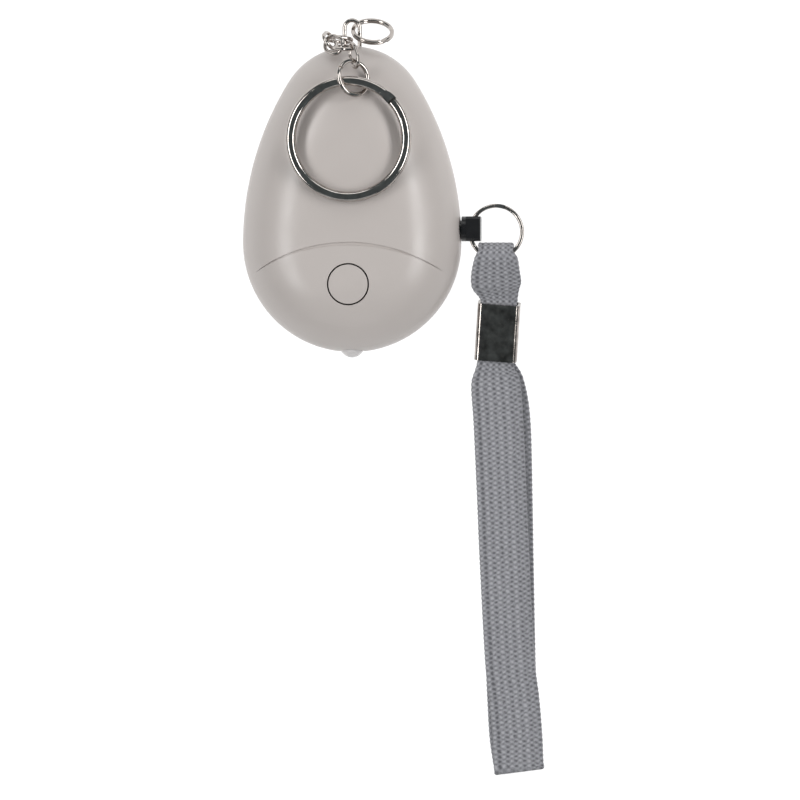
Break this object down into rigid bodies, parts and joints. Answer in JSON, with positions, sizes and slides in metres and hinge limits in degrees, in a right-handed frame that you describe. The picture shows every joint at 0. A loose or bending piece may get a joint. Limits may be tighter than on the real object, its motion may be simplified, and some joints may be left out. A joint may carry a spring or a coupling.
{
  "type": "personal safety alarm",
  "caption": "Egg-shaped personal safety alarm with a pull pin on a wrist strap, a torch button and lamp, and a chain with a key ring.",
  "frame": {"origin": "centre of the wide end's arc, on the flat rear face that the alarm rests on", "axes": "+X to the pull pin, +Y along the body to the chain end, +Z out of the front face"},
  "size_m": [0.06, 0.1537, 0.0257],
  "materials": {
    "body_plastic": "smooth satin",
    "black_plastic": "satin",
    "white_plastic": "matt",
    "ring_chrome": "polished nickel",
    "clamp_chrome": "polished",
    "webbing": "ribbed weave",
    "lamp_clear": "clear",
    "steel": "bright",
    "brass": "plain",
    "board_green": "solder mask"
  },
  "bodies": {
    "housing": {"front_shell": "body_plastic", "rear_shell": "body_plastic", "shell_screws": "steel", "circuit_board": "board_green", "controller_chip": "black_plastic", "siren_coil": "black_plastic", "tactile_switch": "black_plastic", "siren_disc": "brass", "siren_ceramic": "white_plastic", "siren_pins": "steel", "button_cells": "steel", "positive_contact": "steel", "negative_contact": "steel", "lower_pin_leaf": "brass", "upper_pin_leaf": "brass", "torch_led": "lamp_clear", "led_leads": "steel", "chain_bail": "ring_chrome"},
    "button": {"torch_button": "body_plastic", "switch_plunger": "white_plastic"},
    "pin": {"pull_pin": "black_plastic"},
    "small_ring": {"pin_ring": "ring_chrome"},
    "strap": {"wrist_strap": "webbing", "strap_crimp": "clamp_chrome"},
    "bail_ring": {"chain_ring": "ring_chrome"},
    "link_a": {"chain_link_1": "ring_chrome"},
    "link_b": {"chain_link_2": "ring_chrome"},
    "link_c": {"chain_link_3": "ring_chrome"},
    "link_d": {"chain_link_4": "ring_chrome"},
    "link_e": {"chain_link_5": "ring_chrome"},
    "jump": {"jump_ring": "ring_chrome"},
    "keys": {"key_ring": "ring_chrome"}
  },
  "joints": [
    {"name": "button_press", "type": "slide", "parent": "housing", "child": "button", "axis": [0, 0, -1], "range_m": [0, 0.0006], "stiffness_N_per_m": 800},
    {"name": "pin_pull", "type": "slide", "parent": "housing", "child": "pin", "axis": [1, 0, 0], "range_m": [0, 0.012]},
    {"name": "pin_ring_swing", "type": "hinge", "parent": "pin", "child": "small_ring", "pos_m": [0.02405, 0.0021, 0.009], "axis": [0, -1, 0], "range_deg": [-30, 60]},
    {"name": "strap_swing", "type": "hinge", "parent": "small_ring", "child": "strap", "pos_m": [0.02885, -0.00275, 0.009], "axis": [-1, 0, 0], "range_deg": [-25, 60]},
    {"name": "bail_ring_swing", "type": "hinge", "parent": "housing", "child": "bail_ring", "pos_m": [0.00153, 0.0422, 0.009], "axis": [0, -1, 0], "range_deg": [-45, 12]},
    {"name": "link_a_turn", "type": "hinge", "parent": "housing", "child": "link_a", "pos_m": [-0.0009, 0.0404, 0.009], "axis": [-0.4699, -0.2, -0.8598], "range_deg": [0, 30]},
    {"name": "link_b_turn", "type": "hinge", "parent": "link_a", "child": "link_b", "pos_m": [-0.004, 0.0408, 0.0106], "axis": [-0.4699, -0.2, -0.8598], "range_deg": [0, 30]},
    {"name": "link_c_turn", "type": "hinge", "parent": "link_b", "child": "link_c", "pos_m": [-0.0044, 0.0398, 0.0138], "axis": [-1, 0, 0], "range_deg": [0, 30]},
    {"name": "link_d_turn", "type": "hinge", "parent": "link_c", "child": "link_d", "pos_m": [-0.002, 0.0388, 0.0161], "axis": [-1, 0, 0], "range_deg": [0, 30]},
    {"name": "link_e_turn", "type": "hinge", "parent": "link_d", "child": "link_e", "pos_m": [0.0006, 0.0384, 0.0184], "axis": [-1, 0, 0], "range_deg": [0, 30]},
    {"name": "jump_ring_turn", "type": "hinge", "parent": "link_e", "child": "jump", "pos_m": [0.0017, 0.0354, 0.0202], "axis": [-1, 0, 0], "range_deg": [0, 25]},
    {"name": "key_ring_lift", "type": "hinge", "parent": "jump", "child": "keys", "pos_m": [0.0012, 0.03175, 0.0213], "axis": [-1, 0, 0], "range_deg": [0, 85]}
  ]
}
